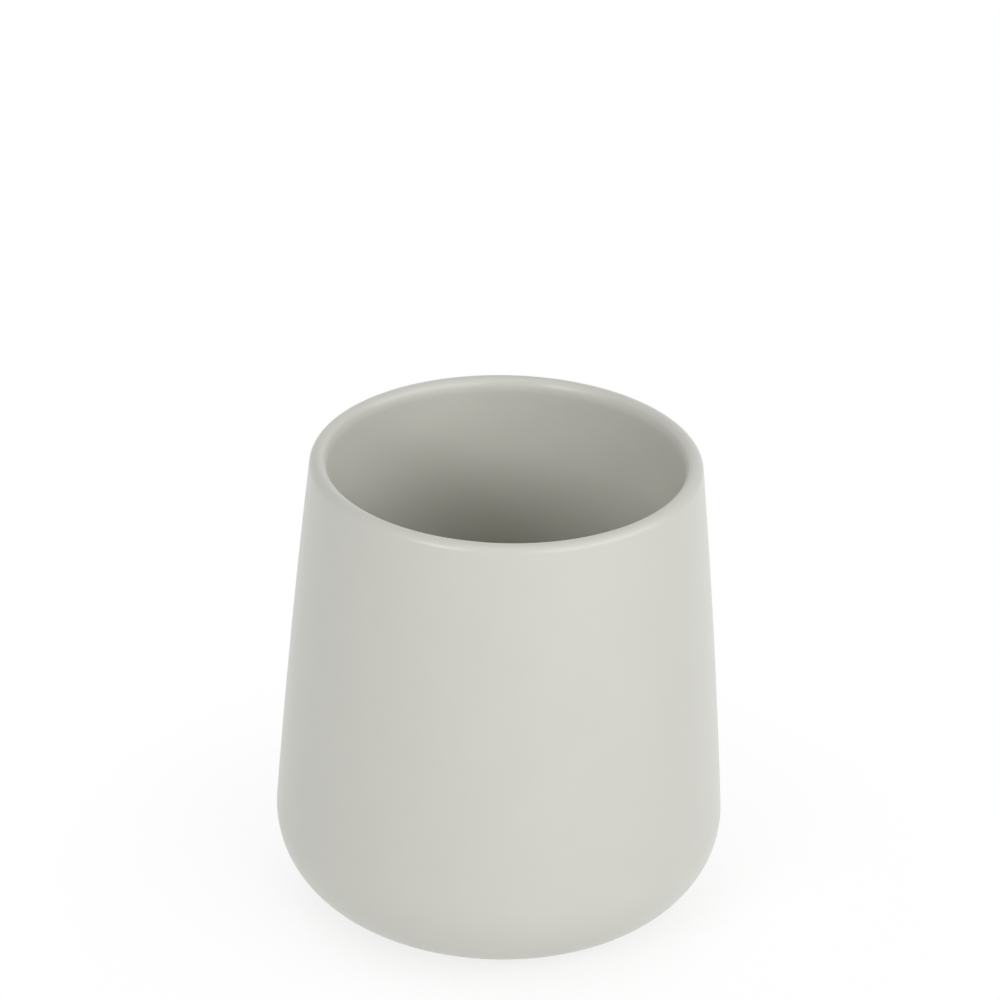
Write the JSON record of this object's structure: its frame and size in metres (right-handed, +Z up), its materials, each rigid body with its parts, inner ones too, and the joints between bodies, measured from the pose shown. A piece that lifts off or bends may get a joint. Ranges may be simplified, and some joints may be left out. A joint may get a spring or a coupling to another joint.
{
  "type": "bathroom tumbler",
  "caption": "Matte pale-grey ceramic tumbler, round and swelling towards a softly rounded base, with a rolled lip; stands on stuck-on non-slip pads and holds brushes or water.",
  "frame": {"origin": "on the tumbler's axis, at the surface that the non-slip pads stand on", "axes": "+Z up along the tumbler's axis, from the base to the open mouth; X and Y are alike, and the pads lie between them on the diagonals"},
  "size_m": [0.094, 0.094, 0.1],
  "materials": {
    "matte_glaze": "matte",
    "pad_rubber": "matte",
    "adhesive_film": "satin"
  },
  "bodies": {
    "root": {"ceramic_body": "matte_glaze", "foot_pad_1": "pad_rubber", "foot_pad_2": "pad_rubber", "foot_pad_3": "pad_rubber", "foot_pad_4": "pad_rubber", "pad_adhesive_1": "adhesive_film", "pad_adhesive_2": "adhesive_film", "pad_adhesive_3": "adhesive_film", "pad_adhesive_4": "adhesive_film"}
  },
  "joints": []
}
